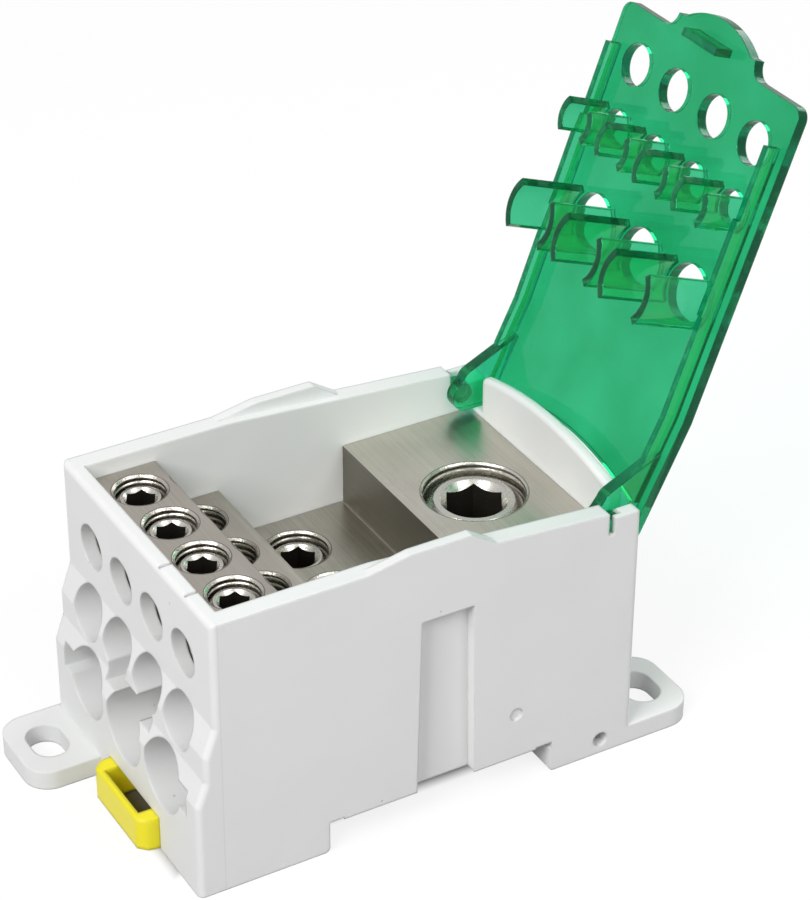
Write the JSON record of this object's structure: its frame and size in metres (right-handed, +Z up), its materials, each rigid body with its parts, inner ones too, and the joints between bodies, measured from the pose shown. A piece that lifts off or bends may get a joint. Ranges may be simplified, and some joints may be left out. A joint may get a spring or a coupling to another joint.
{
  "type": "power distribution block",
  "caption": "Rail-mount power distribution block with a stepped metal conductor, socket clamp screws, cable holes, a hinged see-through lid, a slide clip and fixing ears.",
  "frame": {"origin": "centre of the rail seat, the face of the slot that sits on the rail", "axes": "+Z up and away from the rail, +X from the outlet face to the inlet face, +Y across the block along the rail"},
  "size_m": [0.1077, 0.046, 0.1004],
  "materials": {
    "housing": "moulded flame-retardant polyamide, satin",
    "lid": "clear green polycarbonate, polished mould",
    "conductor": "tin-plated brass, brushed along the width",
    "screw": "nickel-plated steel",
    "clip": "moulded polyamide, yellow"
  },
  "bodies": {
    "base": {"housing": "housing", "conductor_block": "conductor"},
    "lid": {"lid": "lid"},
    "rail_clip": {"rail_clip": "clip"},
    "top_screw_1": {"top_screw_1": "screw"},
    "top_screw_2": {"top_screw_2": "screw"},
    "top_screw_3": {"top_screw_3": "screw"},
    "top_screw_4": {"top_screw_4": "screw"},
    "middle_screw_1": {"middle_screw_1": "screw"},
    "middle_screw_2": {"middle_screw_2": "screw"},
    "middle_screw_3": {"middle_screw_3": "screw"},
    "middle_screw_4": {"middle_screw_4": "screw"},
    "large_screw_1": {"large_screw_1": "screw"},
    "large_screw_2": {"large_screw_2": "screw"},
    "large_screw_3": {"large_screw_3": "screw"},
    "input_screw": {"input_screw": "screw"}
  },
  "joints": [
    {"name": "lid_hinge", "type": "hinge", "parent": "base", "child": "lid", "pos_m": [0.02815, 0, 0.0338], "axis": [0, 1, 0], "range_deg": [-110.3, 0]},
    {"name": "clip_slide", "type": "slide", "parent": "base", "child": "rail_clip", "axis": [-1, 0, 0], "range_m": [0, 0.003], "stiffness_N_per_m": 300},
    {"name": "top_screw_1_travel", "type": "slide", "parent": "base", "child": "top_screw_1", "axis": [0, 0, 1], "range_m": [-0.0022, 0.001]},
    {"name": "top_screw_2_travel", "type": "slide", "parent": "base", "child": "top_screw_2", "axis": [0, 0, 1], "range_m": [-0.0022, 0.001]},
    {"name": "top_screw_3_travel", "type": "slide", "parent": "base", "child": "top_screw_3", "axis": [0, 0, 1], "range_m": [-0.0022, 0.001]},
    {"name": "top_screw_4_travel", "type": "slide", "parent": "base", "child": "top_screw_4", "axis": [0, 0, 1], "range_m": [-0.0022, 0.001]},
    {"name": "middle_screw_1_travel", "type": "slide", "parent": "base", "child": "middle_screw_1", "axis": [0, 0, 1], "range_m": [-0.0014, 0.0042]},
    {"name": "middle_screw_2_travel", "type": "slide", "parent": "base", "child": "middle_screw_2", "axis": [0, 0, 1], "range_m": [-0.0014, 0.0042]},
    {"name": "middle_screw_3_travel", "type": "slide", "parent": "base", "child": "middle_screw_3", "axis": [0, 0, 1], "range_m": [-0.0014, 0.0042]},
    {"name": "middle_screw_4_travel", "type": "slide", "parent": "base", "child": "middle_screw_4", "axis": [0, 0, 1], "range_m": [-0.0014, 0.0042]},
    {"name": "large_screw_1_travel", "type": "slide", "parent": "base", "child": "large_screw_1", "axis": [0, 0, 1], "range_m": [-0.0043, 0.001]},
    {"name": "large_screw_2_travel", "type": "slide", "parent": "base", "child": "large_screw_2", "axis": [0, 0, 1], "range_m": [-0.0043, 0.001]},
    {"name": "large_screw_3_travel", "type": "slide", "parent": "base", "child": "large_screw_3", "axis": [0, 0, 1], "range_m": [-0.0043, 0.001]},
    {"name": "input_screw_travel", "type": "slide", "parent": "base", "child": "input_screw", "axis": [0, 0, 1], "range_m": [-0.0074, 0.0011]}
  ]
}
